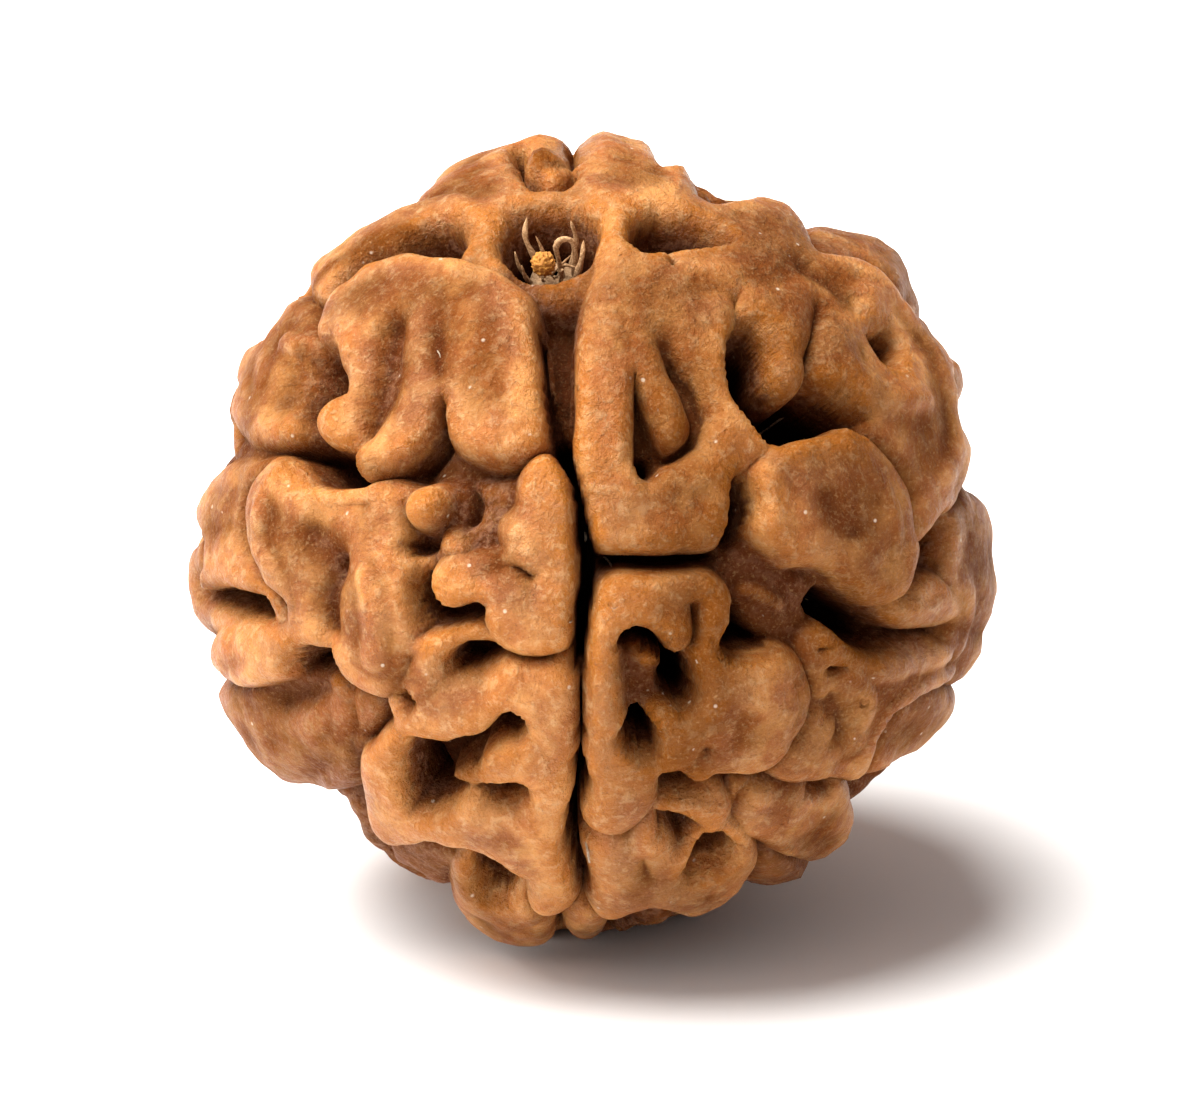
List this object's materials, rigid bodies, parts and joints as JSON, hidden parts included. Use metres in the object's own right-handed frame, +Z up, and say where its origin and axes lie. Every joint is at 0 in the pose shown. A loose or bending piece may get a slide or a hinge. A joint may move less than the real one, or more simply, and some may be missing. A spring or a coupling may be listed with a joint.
{
  "type": "rudraksha bead",
  "caption": "Rough round seed bead with deep rounded lobes, dark pits and one straight groove, and a top hole with dry fibres.",
  "frame": {"origin": "middle of the footprint, on the surface the bead rests on", "axes": "+Z up as the bead lies at rest, -Y towards the viewer, who faces the straight groove; the bead's own axis leans about 20 degrees to -Y"},
  "size_m": [0.025, 0.025, 0.0247],
  "materials": {
    "stone": "waxy tan-orange seed stone, pinkish in its hollows and near black in its pits",
    "pith": "dry dull straw-brown fibres",
    "pulp": "dried yellow-orange pulp"
  },
  "bodies": {
    "root": {"stone": "stone", "pith": "pith", "pulp_crumb": "pulp"}
  },
  "joints": []
}
